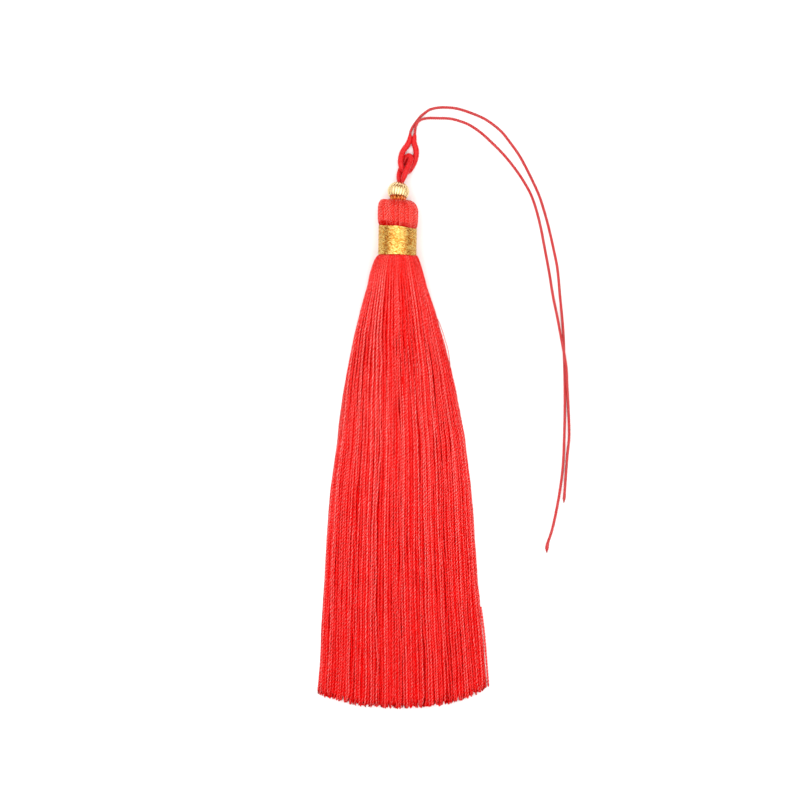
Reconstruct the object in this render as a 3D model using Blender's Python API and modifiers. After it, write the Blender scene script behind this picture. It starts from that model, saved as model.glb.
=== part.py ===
"""Silk tassel lying on a flat surface: a red floss head and skirt, a wound gold band, a fluted bead, two linked
wrapped loops and two thin free cords.

The surface is the plane z = 0. The tassel lies along Y, with its head towards +Y and its thread ends towards -Y,
and the photographed side is up. Every size below is in millimetres; MM turns it into metres.
"""

import math
import random

import bmesh
import bpy
import numpy as np
from mathutils import Matrix, Vector
from mathutils.geometry import interpolate_bezier

MM = 0.001
GAP = 0.3
ROUND_STEPS = 48
MERGE = 0.00001

# Tassel axis: the middle of the gold band, the height of the axis and its slight lean to the right
BAND_X = -1.4
BAND_Y = 50.9
AXIS_HEIGHT = 5.62
AXIS_LEAN = math.radians(-1.0)

# Gold band
BAND_LENGTH = 8.0
BAND_RADIUS = 5.35
BAND_WALL = 0.45
BAND_ROUNDING = 0.25

# Floss head and neck
NECK_RADIUS = BAND_RADIUS - BAND_WALL - GAP
NECK_BELOW = 4.8
HEAD_COLUMNS = ("radius", "above_band")
HEAD_PROFILE = (
    (2.2, 8.0),
    (3.6, 7.9),
    (4.6, 7.45),
    (5.25, 6.6),
    (5.6, 5.4),
    (5.7, 3.9),
    (5.7, 2.3),
    (5.55, 1.1),
    (5.2, GAP),
)
# The head's left shoulder stands a little higher than its right one.
SHOULDER_SLANT = 0.10
SHOULDER_FROM = 2.5
SHOULDER_EASE = 3.0

# Bead, with its hole tipped down and to the right, towards the loop
BEAD_RADIUS = 3.05
BEAD_HALF_LENGTH = 2.8
BEAD_HOLE = 1.3
BEAD_ABOVE_BAND_MIDDLE = 13.65
BEAD_DROOP = math.radians(20.0)
BEAD_TURN = math.radians(-12.0)
BEAD_SAG = 0.9
FLUTES = 20
FLUTE_DEPTH = 0.2
DIMPLE_RADIUS = BEAD_RADIUS + GAP
POCKET_RADIUS = 1.35
POCKET_END = 5.0

# Skirt: its outline from above and its height, at distances down from the band's lower edge.
# settled is 0 where the section is round and 1 where its underside lies flat on the surface.
SKIRT_TOP_Y = 47.0
SKIRT_COLUMNS = ("down", "left", "right", "low", "high", "settled")
SKIRT_ROWS = (
    (-1.2, -5.7, 2.9, 1.32, 8.6, 0.0),
    (0.5, -6.0, 3.2, 1.02, 9.2, 0.0),
    (0.7, -6.6, 3.8, 0.65, 9.9, 0.0),
    (1.1, -7.3, 4.1, 0.5, 10.0, 0.05),
    (2.2, -8.0, 4.6, 0.35, 9.9, 0.1),
    (5.6, -9.1, 5.7, 0.1, 9.3, 0.3),
    (9.0, -9.9, 6.9, 0.0, 8.7, 0.5),
    (22.4, -13.6, 10.5, 0.0, 6.9, 0.9),
    (39.2, -16.7, 15.0, 0.0, 5.4, 1.0),
    (66.1, -20.3, 19.5, 0.0, 4.2, 1.0),
    (99.7, -22.6, 21.9, 0.0, 3.5, 1.0),
    (127.4, -24.6, 24.7, 0.0, 3.1, 1.0),
)
BACKING_DOWNS = (-1.2, 0.5, 0.7, 1.1, 2.2, 3.4)
BACKING_SIDES = 40
ROUND_POWER = 2.0
SETTLED_POWER = 2.6

# Strands of the skirt
SKIRT_COLUMNS_ACROSS = 60
MOST_LAYERS = 4
STRAND_HEIGHT = 0.78
THINNEST_STRAND = 0.55
SIDE_GAP_SHARE = 0.09
LAYER_GAP_SHARE = 0.08
STRAND_DOWNS = (2.2, 9.0, 28.0, 66.1)
ROOT_INSET = 0.975
SKIRT_LENGTH = 127.0
TIP_DROP = 5.9
TIP_DROP_POWER = 2.5
LONGEST_EXTRA = 0.3
SHORTEST_LOSS = 0.7
CLUMPS = 8
CLUMP_SHIFT = 0.011
CLUMP_PHASE = 0.6
CLUMP_EASE = 1.5
SEED = 7

# Wrapped loops. Their legs are thinner inside the bead and where the thin cords leave the ring.
# full is the wrapped cord's thickness as a share of the whole one.
LOOP_RADIUS = 0.7
THIN_SHARE = 0.6
LEG_SPACING = 1.15
LEG_PLACES = (-4.6, -2.3, 0.0, 3.0)
LOOP_COLUMNS = ("x", "y", "z", "full")
BEAD_LOOP_ROUTE = (
    (-1.20, 68.3, 2.70, 0.94),
    (-1.10, 69.4, 1.65, 1.0),
    (-0.86, 70.5, 0.95, 1.0),
    (-0.34, 72.0, 0.75, 1.0),
    (0.48, 73.5, 0.75, 1.0),
    (1.20, 74.4, 0.90, 1.0),
    (1.95, 74.65, 1.40, 1.0),
    (2.35, 74.0, 1.95, 1.0),
    (2.20, 72.8, 2.60, 1.0),
    (1.70, 71.4, 3.25, 1.0),
    (1.10, 70.1, 3.65, 1.0),
    (0.50, 68.7, 3.70, 0.94),
)
TOP_RING_ROUTE = (
    (2.13, 79.95, 0.72, 0.57),
    (1.85, 79.2, 0.74, 0.88),
    (1.10, 77.9, 0.75, 1.0),
    (0.14, 76.0, 1.25, 1.0),
    (-0.40, 74.3, 2.05, 1.0),
    (-0.55, 72.9, 2.55, 1.0),
    (-0.30, 71.6, 2.60, 1.0),
    (0.25, 70.6, 2.15, 1.0),
    (1.00, 70.15, 1.65, 1.0),
    (1.80, 70.5, 1.35, 1.0),
    (2.55, 71.5, 1.00, 1.0),
    (3.27, 72.9, 0.78, 1.0),
    (3.72, 74.5, 0.75, 1.0),
    (3.80, 76.4, 0.75, 1.0),
    (3.62, 78.2, 0.75, 1.0),
    (3.42, 79.3, 0.74, 0.88),
    (3.42, 79.95, 0.72, 0.57),
)

# Thin free cords, each with a small melted swelling at its end
CORD_RADIUS = 0.375
MELTED_SWELLING = 1.3
CORD_COLUMNS = ("x", "y", "z")
STEPS_BETWEEN = 2
CORD_LONG_ROUTE = (
    (2.13, 80.4, 0.66),
    (2.2, 81.6, 0.46),
    (2.7, 82.9, 0.39),
    (3.8, 84.4, 0.38),
    (5.0, 85.7, 0.38),
    (6.3, 86.8, 0.38),
    (7.7, 87.7, 0.38),
    (10.5, 88.3, 0.38),
    (14.7, 88.1, 0.38),
    (18.6, 87.0, 0.38),
    (23.4, 84.9, 0.38),
    (27.6, 81.7, 0.38),
    (30.2, 78.5, 0.38),
    (32.7, 75.0, 0.38),
    (35.0, 70.8, 0.38),
    (38.2, 64.0, 0.38),
    (39.8, 59.2, 0.38),
    (41.1, 54.4, 0.38),
    (42.5, 48.2, 0.38),
    (43.5, 43.1, 0.38),
    (44.2, 35.7, 0.38),
    (45.1, 26.0, 0.38),
    (45.4, 18.0, 0.38),
    (45.6, 8.4, 0.38),
    (45.5, -1.6, 0.38),
    (44.8, -11.8, 0.38),
    (44.0, -18.3, 0.38),
    (43.0, -24.7, 0.38),
    (41.7, -30.5, 0.38),
    (40.7, -34.4, 0.38),
    (40.5, -36.7, 0.5),
)
CORD_SHORT_ROUTE = (
    (3.42, 80.4, 0.72),
    (3.6, 81.6, 0.8),
    (3.95, 83.1, 1.1),
    (4.5, 84.2, 1.3),
    (5.4, 84.9, 1.2),
    (7.3, 85.3, 0.6),
    (10.2, 85.3, 0.38),
    (13.1, 85.2, 0.38),
    (15.4, 84.7, 0.38),
    (18.6, 83.5, 0.38),
    (21.8, 81.4, 0.38),
    (24.7, 78.8, 0.38),
    (28.2, 75.3, 0.38),
    (31.4, 71.4, 0.38),
    (34.0, 67.6, 0.38),
    (36.0, 64.0, 0.38),
    (37.5, 59.8, 0.38),
    (38.8, 54.7, 0.38),
    (39.8, 49.5, 0.38),
    (41.3, 41.4, 0.4),
    (42.2, 35.7, 0.7),
    (43.5, 29.2, 1.2),
    (44.5, 23.8, 1.5),
    (45.4, 19.0, 1.5),
    (46.1, 15.0, 1.35),
    (46.6, 10.6, 0.85),
    (46.8, 3.4, 0.4),
    (46.8, -4.1, 0.38),
    (46.3, -9.3, 0.38),
    (45.9, -14.4, 0.38),
    (45.6, -18.9, 0.38),
    (45.3, -22.7, 0.5),
)

SILK_RED = (0.89, 0.042, 0.037)
CORD_RED = (0.80, 0.03, 0.03)
GOLD_THREAD = (0.80, 0.49, 0.10)
GOLD_BEAD = (0.88, 0.70, 0.38)


def clear_scene():
    for old in list(bpy.data.objects):
        bpy.data.objects.remove(old, do_unlink=True)


def new_collection(name):
    made = bpy.data.collections.new(name)
    bpy.context.scene.collection.children.link(made)
    return made


def principled(name, colour, roughness, metallic=0.0):
    """A material that is one Principled BSDF."""
    material = bpy.data.materials.new(name)
    material.use_nodes = True
    shader = material.node_tree.nodes["Principled BSDF"]
    shader.inputs["Base Color"].default_value = (*colour, 1.0)
    shader.inputs["Roughness"].default_value = roughness
    shader.inputs["Metallic"].default_value = metallic
    return material


def mesh_object(name, mesh, collection, material=None):
    made = bpy.data.objects.new(name, mesh)
    collection.objects.link(made)
    if material:
        mesh.materials.append(material)
    return made


def as_cutter(helper):
    helper.hide_render = True
    helper.display_type = "WIRE"


def evaluated_mesh(source):
    """The mesh of an object as its modifiers or its bevel leave it, with close points made one."""
    graph = bpy.context.evaluated_depsgraph_get()
    mesh = bpy.data.meshes.new_from_object(source.evaluated_get(graph))
    shape = bmesh.new()
    shape.from_mesh(mesh)
    bmesh.ops.remove_doubles(shape, verts=shape.verts, dist=MERGE)
    shape.to_mesh(mesh)
    shape.free()
    return mesh


def smooth_round(mesh, sharp_angle=math.radians(40.0)):
    mesh.shade_smooth()
    mesh.set_sharp_from_angle(angle=sharp_angle)


def turned(name, profile, collection, steps=ROUND_STEPS, closed=False):
    """A turned object round its own Z axis, from (radius, height) points down its outer side."""
    mesh = bpy.data.meshes.new(name)
    points = [(radius * MM, 0.0, height * MM) for radius, height in profile]
    edges = [(i, i + 1) for i in range(len(points) - 1)]
    if closed:
        edges.append((len(points) - 1, 0))
    mesh.from_pydata(points, edges, [])
    made = mesh_object(name, mesh, collection)
    screw = made.modifiers.new("turn", "SCREW")
    screw.axis = "Z"
    screw.angle = math.tau
    screw.steps = steps
    screw.render_steps = steps
    screw.use_merge_vertices = True
    screw.merge_threshold = MERGE
    return made


def boolean(target, operand, operation):
    cut = target.modifiers.new(operand.name, "BOOLEAN")
    cut.operation = operation
    cut.solver = "EXACT"
    cut.object = operand
    return cut


def loft(shape, sections):
    """Adds to a bmesh a closed solid through rings of the same number of points, with flat ends."""
    rings = [[shape.verts.new(point) for point in ring] for ring in sections]
    count = len(rings[0])
    for first, second in zip(rings, rings[1:]):
        for i in range(count):
            j = (i + 1) % count
            shape.faces.new((first[i], first[j], second[j], second[i]))
    shape.faces.new(rings[0][::-1])
    shape.faces.new(rings[-1])


def finished_loft(name, lofts, collection):
    """One object from lists of sections, with its faces turned outwards."""
    shape = bmesh.new()
    for sections in lofts:
        loft(shape, sections)
    bmesh.ops.recalc_face_normals(shape, faces=shape.faces)
    mesh = bpy.data.meshes.new(name)
    shape.to_mesh(mesh)
    shape.free()
    return mesh_object(name, mesh, collection)


def smooth_route(points, steps):
    """Points on a smooth curve through the route's own points, with the given steps between each two."""
    rows = [Vector(point) for point in points]
    ends = [rows[0] * 2 - rows[1], *rows, rows[-1] * 2 - rows[-2]]
    found = [rows[0]]
    for before, start, end, after in zip(ends, ends[1:], ends[2:], ends[3:]):
        reach = (end - start).length / 3
        handle_out = start + (end - before).normalized() * reach
        handle_in = end - (after - start).normalized() * reach
        found.extend(interpolate_bezier(start, handle_out, handle_in, end, steps + 1)[1:])
    return found


def table(columns, rows):
    """The rows of a table as dictionaries of its named columns."""
    return [dict(zip(columns, row)) for row in rows]


def tube(name, points, radii, collection, material, sides_resolution):
    """A curve object with a round bevel and filled caps through the points, in millimetres."""
    curve = bpy.data.curves.new(name, "CURVE")
    curve.dimensions = "3D"
    curve.bevel_depth = MM
    curve.bevel_resolution = sides_resolution
    curve.use_fill_caps = True
    spline = curve.splines.new("POLY")
    spline.points.add(len(points) - 1)
    for place, point, radius in zip(spline.points, points, radii):
        place.co = (*(point * MM), 1.0)
        place.radius = radius
    spline.use_smooth = True
    curve.materials.append(material)
    made = bpy.data.objects.new(name, curve)
    collection.objects.link(made)
    return made


def tassel_axis(collection):
    """An empty at the middle of the band, whose Z axis runs up the tassel."""
    axis = bpy.data.objects.new("tassel_axis", None)
    collection.objects.link(axis)
    axis.location = (BAND_X * MM, BAND_Y * MM, AXIS_HEIGHT * MM)
    axis.rotation_euler = (Matrix.Rotation(AXIS_LEAN, 3, "Z") @ Matrix.Rotation(-math.pi / 2, 3, "X")).to_euler()
    return axis


def skirt_section(down):
    """The row of the skirt's table at this distance down, as a dictionary of its columns."""
    rows = table(SKIRT_COLUMNS, SKIRT_ROWS)
    downs = [row["down"] for row in rows]
    return {name: float(np.interp(down, downs, [row[name] for row in rows])) for name in SKIRT_COLUMNS}


def section_heights(section, across):
    """Lowest and highest point of the skirt's section, with across from -1 at its left edge to 1 at its right."""
    settled = section["settled"]
    power = ROUND_POWER + (SETTLED_POWER - ROUND_POWER) * settled
    shape = max(0.0, 1 - min(1.0, abs(across)) ** power) ** (1 / power)
    lift = (1 - settled) * (1 - shape) / 2
    low = section["low"] + section["high"] * lift
    return low, low + section["high"] * shape


def section_x(section, across):
    return (section["left"] + section["right"]) / 2 + (section["right"] - section["left"]) / 2 * across


def backing_ring(down):
    """The outline of the skirt's root at one distance down."""
    section = skirt_section(down)
    ring = []
    for i in range(BACKING_SIDES):
        angle = math.tau * i / BACKING_SIDES
        across = math.cos(angle)
        low, high = section_heights(section, across)
        middle = (low + high) / 2
        height = high if math.sin(angle) > 0 else low
        if abs(across) > 0.9999:
            height = middle
        ring.append(Vector((section_x(section, across), SKIRT_TOP_Y - down, height)) * MM)
    return ring


def clumped(across, down):
    """Moves a place across the skirt towards the nearest clump of threads, more so near the ends."""
    share = max(0.0, down / SKIRT_LENGTH) ** CLUMP_EASE
    return across + CLUMP_SHIFT * share * math.sin(math.pi * CLUMPS * across + CLUMP_PHASE)


def strand_section(column, layer, layers, down, inset):
    """The four corners of one strand at one distance down."""
    section = skirt_section(down)
    width = 2 / SKIRT_COLUMNS_ACROSS
    edges = (-1 + width * (column + SIDE_GAP_SHARE), -1 + width * (column + 1 - SIDE_GAP_SHARE))
    low, high = section_heights(section, -1 + width * (column + 0.5))
    high = max(high, low + THINNEST_STRAND * layers)
    height = (high - low) / layers
    bottom = low + height * (layer + (LAYER_GAP_SHARE if layer else 0.0))
    top = low + height * (layer + 1 - LAYER_GAP_SHARE)
    middle = section["low"] + section["high"] / 2
    corners = []
    for edge, level in ((0, bottom), (1, bottom), (1, top), (0, top)):
        x = section_x(section, clumped(edges[edge], down) * inset)
        z = middle + (level - middle) * inset
        corners.append(Vector((x, SKIRT_TOP_Y - down, z)) * MM)
    return corners


def strand_tip(column, draw):
    """How far down one strand ends: the threads are about equally long, so the outer ones end higher."""
    across = abs(-1 + (column + 0.5) * 2 / SKIRT_COLUMNS_ACROSS)
    uneven = draw.uniform(-SHORTEST_LOSS, LONGEST_EXTRA)
    return SKIRT_LENGTH - TIP_DROP * across**TIP_DROP_POWER + uneven


def layers_at(column):
    """How many strands lie on each other at this place across the skirt's ends."""
    across = -1 + (column + 0.5) * 2 / SKIRT_COLUMNS_ACROSS
    low, high = section_heights(skirt_section(SKIRT_LENGTH), across)
    return min(MOST_LAYERS, max(1, round((high - low) / STRAND_HEIGHT)))


def strand_lofts():
    draw = random.Random(SEED)
    lofts = []
    for column in range(SKIRT_COLUMNS_ACROSS):
        layers = layers_at(column)
        for layer in range(layers):
            downs = [*STRAND_DOWNS, strand_tip(column, draw)]
            insets = [ROOT_INSET] + [1.0] * (len(downs) - 1)
            lofts.append(
                [
                    strand_section(column, layer, layers, down, inset)
                    for down, inset in zip(downs, insets)
                ]
            )
    return lofts


def flattened_underneath(mesh):
    """Cuts the mesh at the surface, which leaves the small flat spot that the head rests on."""
    shape = bmesh.new()
    shape.from_mesh(mesh)
    cut = bmesh.ops.bisect_plane(
        shape,
        geom=shape.verts[:] + shape.edges[:] + shape.faces[:],
        plane_co=(0, 0, 0),
        plane_no=(0, 0, 1),
        clear_inner=True,
    )
    rim = [piece for piece in cut["geom_cut"] if isinstance(piece, bmesh.types.BMEdge)]
    bmesh.ops.contextual_create(shape, geom=rim)
    bmesh.ops.recalc_face_normals(shape, faces=shape.faces)
    shape.to_mesh(mesh)
    shape.free()


def floss_head(parts, axis):
    """The folded head and the bound neck, as one turned mesh in world space."""
    top = BAND_LENGTH / 2
    outline = table(HEAD_COLUMNS, HEAD_PROFILE)
    profile = [(0.0, outline[0]["above_band"] + top)]
    profile += [(row["radius"], row["above_band"] + top) for row in outline]
    profile += [(NECK_RADIUS, GAP + top), (NECK_RADIUS, -NECK_BELOW), (0.0, -NECK_BELOW)]
    head = turned("head_blank", profile, parts)
    head.parent = axis
    bpy.context.view_layer.update()
    mesh = evaluated_mesh(head)
    for vertex in mesh.vertices:
        above = vertex.co.z / MM - top - SHOULDER_FROM
        if above > 0:
            vertex.co.z -= SHOULDER_SLANT * vertex.co.x * min(1.0, above / SHOULDER_EASE)
    mesh.transform(head.matrix_world)
    bpy.data.objects.remove(head, do_unlink=True)
    flattened_underneath(mesh)
    return mesh


def bead_matrix(axis):
    """The bead's place, with its Z axis along its hole."""
    centre = axis.matrix_world @ Vector((0, 0, BEAD_ABOVE_BAND_MIDDLE * MM))
    centre.z -= BEAD_SAG * MM
    turn = Matrix.Rotation(BEAD_TURN, 4, "Z") @ Matrix.Rotation(-math.pi / 2 - BEAD_DROOP, 4, "X")
    return Matrix.Translation(centre) @ turn


def build_floss(parts, cutters, axis, material):
    """Head, neck and skirt: one backing with the strands fused into it."""
    floss = mesh_object("floss", floss_head(parts, axis), parts, material)
    root = finished_loft("skirt_root", [[backing_ring(down) for down in BACKING_DOWNS]], cutters)
    strands = finished_loft("skirt_strands", strand_lofts(), cutters)
    bpy.ops.mesh.primitive_uv_sphere_add(segments=32, ring_count=16, radius=DIMPLE_RADIUS * MM)
    dimple = bpy.context.object
    dimple.name = "dimple_cutter"
    dimple.matrix_world = bead_matrix(axis)
    bpy.ops.mesh.primitive_cylinder_add(vertices=24, radius=POCKET_RADIUS * MM, depth=POCKET_END * MM)
    pocket = bpy.context.object
    pocket.name = "pocket_cutter"
    pocket.matrix_world = bead_matrix(axis) @ Matrix.Translation((0, 0, -POCKET_END / 2 * MM))
    for helper in (dimple, pocket):
        for home in list(helper.users_collection):
            home.objects.unlink(helper)
        cutters.objects.link(helper)
    for helper, operation in (
        (root, "UNION"),
        (strands, "UNION"),
        (dimple, "DIFFERENCE"),
        (pocket, "DIFFERENCE"),
    ):
        as_cutter(helper)
        boolean(floss, helper, operation)
    smooth_round(floss.data)
    return floss


def build_band(parts, axis, material):
    """The wound gold band, as a plain ring with softly rounded edges."""
    half = BAND_LENGTH / 2
    inner = BAND_RADIUS - BAND_WALL
    profile = [
        (BAND_RADIUS - BAND_ROUNDING, half),
        (BAND_RADIUS, half - BAND_ROUNDING * 2),
        (BAND_RADIUS, -half + BAND_ROUNDING * 2),
        (BAND_RADIUS - BAND_ROUNDING, -half),
        (inner, -half),
        (inner, half),
    ]
    blank = turned("gold_band_blank", profile, parts, closed=True)
    mesh = evaluated_mesh(blank)
    bpy.data.objects.remove(blank, do_unlink=True)
    band = mesh_object("gold_band", mesh, parts, material)
    smooth_round(mesh)
    band.parent = axis
    return band


def build_bead(parts, axis, material):
    """The fluted bead with its hole."""
    reach = math.asin(BEAD_HOLE / BEAD_RADIUS)
    rows = 10
    angles = [reach + (math.pi - 2 * reach) * i / rows for i in range(rows + 1)]
    profile = [(BEAD_RADIUS * math.sin(a), BEAD_HALF_LENGTH * math.cos(a)) for a in angles]
    profile.append((BEAD_HOLE, 0.0))
    blank = turned("bead_blank", profile, parts, steps=2 * FLUTES, closed=True)
    mesh = evaluated_mesh(blank)
    bpy.data.objects.remove(blank, do_unlink=True)
    for vertex in mesh.vertices:
        radius = math.hypot(vertex.co.x, vertex.co.y)
        fullness = max(0.0, radius / MM - BEAD_HOLE) / (BEAD_RADIUS - BEAD_HOLE)
        turn = math.atan2(vertex.co.y, vertex.co.x)
        depth = FLUTE_DEPTH * MM * math.sqrt(fullness) * (0.5 - 0.5 * math.cos(FLUTES * turn))
        vertex.co.x *= (radius - depth) / radius
        vertex.co.y *= (radius - depth) / radius
    bead = mesh_object("bead", mesh, parts, material)
    smooth_round(mesh)
    bead.matrix_world = bead_matrix(axis)
    return bead


def leg_row(axis, side, along):
    """A row of the lower loop's route for a place on one of its legs inside the bead."""
    place = bead_matrix(axis) @ Vector((side * LEG_SPACING / 2 * MM, 0, along * MM))
    return (*(place / MM), THIN_SHARE)


def wrapped_tube(name, rows, parts, material):
    """A wrapped loop along its route, as thick at each place as its row says."""
    route = table(LOOP_COLUMNS, rows)
    points = smooth_route([(row["x"], row["y"], row["z"]) for row in route], STEPS_BETWEEN)
    places = np.linspace(0, len(route) - 1, len(points))
    radii = LOOP_RADIUS * np.interp(places, range(len(route)), [row["full"] for row in route])
    return tube(name, points, radii, parts, material, sides_resolution=3)


def build_bead_loop(parts, axis, material):
    """The lower wrapped loop: up one leg out of the bead, over the fold and back down the other."""
    left, right = ([leg_row(axis, side, along) for along in LEG_PLACES] for side in (-1, 1))
    return wrapped_tube("bead_loop", [*left, *BEAD_LOOP_ROUTE, *right[::-1]], parts, material)


def build_top_ring(parts, material):
    """The upper wrapped loop, which passes over one leg of the lower loop and under the other."""
    return wrapped_tube("top_ring", TOP_RING_ROUTE, parts, material)


def build_cord(name, route, parts, material):
    """A thin free cord along its route, with a melted swelling at its end."""
    rows = table(CORD_COLUMNS, route)
    points = smooth_route([(row["x"], row["y"], row["z"]) for row in rows], STEPS_BETWEEN)
    radii = [CORD_RADIUS] * (len(points) - 1) + [CORD_RADIUS * MELTED_SWELLING]
    return tube(name, points, radii, parts, material, sides_resolution=2)


def main():
    clear_scene()
    parts = new_collection("silk_tassel")
    cutters = new_collection("cutters")
    silk = principled("silk_floss", SILK_RED, 0.45)
    cord = principled("silk_cord", CORD_RED, 0.5)
    gold_thread = principled("gold_thread", GOLD_THREAD, 0.3, 1.0)
    gold_metal = principled("gold_metal", GOLD_BEAD, 0.2, 1.0)
    axis = tassel_axis(parts)
    bpy.context.view_layer.update()
    build_floss(parts, cutters, axis, silk)
    build_band(parts, axis, gold_thread)
    build_bead(parts, axis, gold_metal)
    build_bead_loop(parts, axis, cord)
    build_top_ring(parts, cord)
    build_cord("cord_long", CORD_LONG_ROUTE, parts, cord)
    build_cord("cord_short", CORD_SHORT_ROUTE, parts, cord)


main()
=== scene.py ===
"""Dresses the silk tassel: twisted floss threads, a wound gold band, a fluted bead, two wrapped loops and
two thin free cords, lying on a pale floor and seen from straight above.

Sizes are in millimetres, and MM turns them into metres. X is to the right, Y up the tassel, Z off the floor.
"""

import math
from collections import namedtuple

import bpy
import numpy as np
from mathutils import Matrix, Vector
from mathutils.geometry import interpolate_bezier


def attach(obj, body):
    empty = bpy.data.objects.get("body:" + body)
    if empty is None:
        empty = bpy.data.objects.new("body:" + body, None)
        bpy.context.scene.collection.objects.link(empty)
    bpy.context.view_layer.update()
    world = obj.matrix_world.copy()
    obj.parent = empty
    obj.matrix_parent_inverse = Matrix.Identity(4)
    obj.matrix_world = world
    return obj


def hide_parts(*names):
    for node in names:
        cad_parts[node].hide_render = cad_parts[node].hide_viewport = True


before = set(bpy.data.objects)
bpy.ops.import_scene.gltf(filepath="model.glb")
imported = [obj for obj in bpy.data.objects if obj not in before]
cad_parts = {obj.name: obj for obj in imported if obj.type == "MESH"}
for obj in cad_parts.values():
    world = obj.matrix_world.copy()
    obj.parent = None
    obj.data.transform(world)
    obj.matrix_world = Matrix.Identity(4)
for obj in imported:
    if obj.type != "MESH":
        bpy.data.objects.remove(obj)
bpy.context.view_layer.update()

MM = 0.001
STRAND_MAP = "Strand"
SILK_IOR = 1.57

# Camera: one pixel of the photograph is 0.28 mm on a plane at the tassel's middle height
PIXEL = 0.28
PICTURE_SIDE = 800
PIXEL_OF_X_ZERO = 402.5
PIXEL_OF_Y_ZERO = 422.0
SHARP_HEIGHT = 6.0
LENS = 300.0
SENSOR = 36.0

# Tassel axis, as in the CAD model: its Z runs up the tassel and its Y down to the floor
BAND_X = -1.4
BAND_Y = 50.9
AXIS_HEIGHT = 5.62
AXIS_LEAN = math.radians(-1.0)

# Gold band: one metallic thread wound side by side, its top turns dipping at the right
BAND_LENGTH = 8.0
BAND_RADIUS = 5.35
BAND_TOP = 4.2
BAND_BOTTOM = -4.1
GOLD_THREAD_RADIUS = 0.26
GOLD_WAIST = 0.85
GOLD_TURN = 0.9
WINDING_PITCH = 0.31
WINDING_POINTS = 130
BAND_DIP = 0.9
BAND_DIP_FROM = 1.0
BAND_TILT = 0.25

# Head threads: the path of one thread from inside the band over the shoulder to the rim round the bead.
# Each row holds a radius, a height above the band's upper edge, and 0 where the radius is measured from the
# tassel's axis or 1 where it is measured from the bead's centre.
HEAD_THREADS = 60
HEAD_THREAD_RADIUS = 0.31
HEAD_WAISTS = (0.64, 0.82)
HEAD_TURNS = (1.2, 2.2)
HEAD_LAYERS = ((0.0, 8), (0.3, 5))
HEAD_PATH = (
    (4.45, -1.6, 0.0),
    (4.6, -0.6, 0.0),
    (4.92, 0.15, 0.0),
    (5.2, 0.85, 0.0),
    (5.38, 1.7, 0.0),
    (5.44, 2.8, 0.0),
    (5.44, 4.1, 0.0),
    (5.36, 5.15, 0.0),
    (5.1, 6.0, 0.05),
    (4.65, 6.62, 0.15),
    (4.15, 6.9, 0.4),
    (3.7, 6.98, 0.7),
    (3.3, 7.02, 0.95),
)
SHOULDER_SLANT = 0.12
SHOULDER_FROM = 2.5
SHOULDER_EASE = 3.0
RIM_HEIGHT = 7.1
RUFFLE_RISE = 0.8
RUFFLE_AZIMUTH = math.radians(-94.0)
RUFFLE_WIDTH = math.radians(50.0)
PUCKER_THREADS = 3
PUCKER_HEIGHT = 0.32
DIMPLE_BOTTOM = 6.6

# Bead
BEAD_RADIUS = 3.05
BEAD_HALF_LENGTH = 2.8
BEAD_HOLE = 1.3
BEAD_WALL_REACH = 1.2
BEAD_ABOVE_BAND_MIDDLE = 13.65
BEAD_DROOP = math.radians(20.0)
BEAD_TURN = math.radians(-12.0)
BEAD_SAG = 0.9
FLUTES = 20
FLUTE_DEPTH = 0.2
FLUTE_SHARPNESS = 0.7

# Skirt: its outline from above and its height, at distances down from the band's lower edge.
# settled is 0 where the section is round and 1 where its underside lies flat on the floor.
SKIRT_TOP_Y = 47.0
SKIRT_START = -1.2
SKIRT_COLUMNS = ("down", "left", "right", "low", "high", "settled")
SKIRT_ROWS = (
    (-1.2, -5.9, 3.1, 1.12, 9.0, 0.0),
    (-0.2, -6.2, 3.4, 0.8, 9.6, 0.0),
    (0.3, -7.0, 4.15, 0.45, 10.2, 0.0),
    (1.1, -7.65, 4.5, 0.4, 10.2, 0.05),
    (2.2, -8.2, 5.0, 0.35, 9.9, 0.1),
    (5.6, -9.3, 6.0, 0.1, 9.3, 0.3),
    (9.0, -10.0, 6.9, 0.0, 8.7, 0.5),
    (15.6, -11.9, 9.1, 0.0, 7.7, 0.75),
    (22.4, -13.6, 10.9, 0.0, 6.9, 0.9),
    (32.4, -15.6, 13.7, 0.0, 5.9, 0.97),
    (39.2, -16.7, 15.1, 0.0, 5.4, 1.0),
    (52.6, -18.4, 17.7, 0.0, 4.7, 1.0),
    (66.0, -20.3, 19.4, 0.0, 4.2, 1.0),
    (79.5, -21.4, 20.3, 0.0, 3.8, 1.0),
    (99.6, -22.6, 21.8, 0.0, 3.5, 1.0),
    (113.1, -23.2, 23.1, 0.0, 3.3, 1.0),
    (121.5, -23.8, 23.9, 0.0, 3.15, 1.0),
    (127.4, -24.3, 24.4, 0.0, 3.1, 1.0),
)
ROUND_POWER = 2.0
SETTLED_POWER = 2.6
SECTION_STEPS = 160
PLACE_STEP = 1.0

# Skirt threads, two twisted plies each
THREADS_ABREAST = 64
THREAD_RADIUS_AT_NECK = 0.30
THREAD_RADIUS = 0.345
THREAD_FULL_AT = 25.0
TURN_LENGTH = 1.9
TWIST_DRIFT = 9.0
TWIST_UNEVENNESS = 0.12
TURN_SPREAD = (0.75, 1.35)
PLY_WAISTS = (0.64, 0.84)
NECK_TWIST = 0.25
TWIST_EASE = (4.0, 26.0)
SKIRT_LENGTH = 127.2
TIP_DROP_LEFT = 4.2
TIP_DROP_RIGHT = 5.9
TIP_DROP_POWER = 2.5
LONGEST_EXTRA = 0.3
SHORTEST_LOSS = 0.75
HIDDEN_LOSS = 0.1
LOCKS = ((5, 0.06), (11, 0.08), (19, 0.09))
LOCK_DRIFT = 3.0
LOCK_CROWN = 0.2
LOCK_EASE = (1.0, 24.0)
SUNK_AT_NECK = 0.1
SUNK_BELOW_NECK = 0.32
SINKING_EASE = (1.0, 10.0)
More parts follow.
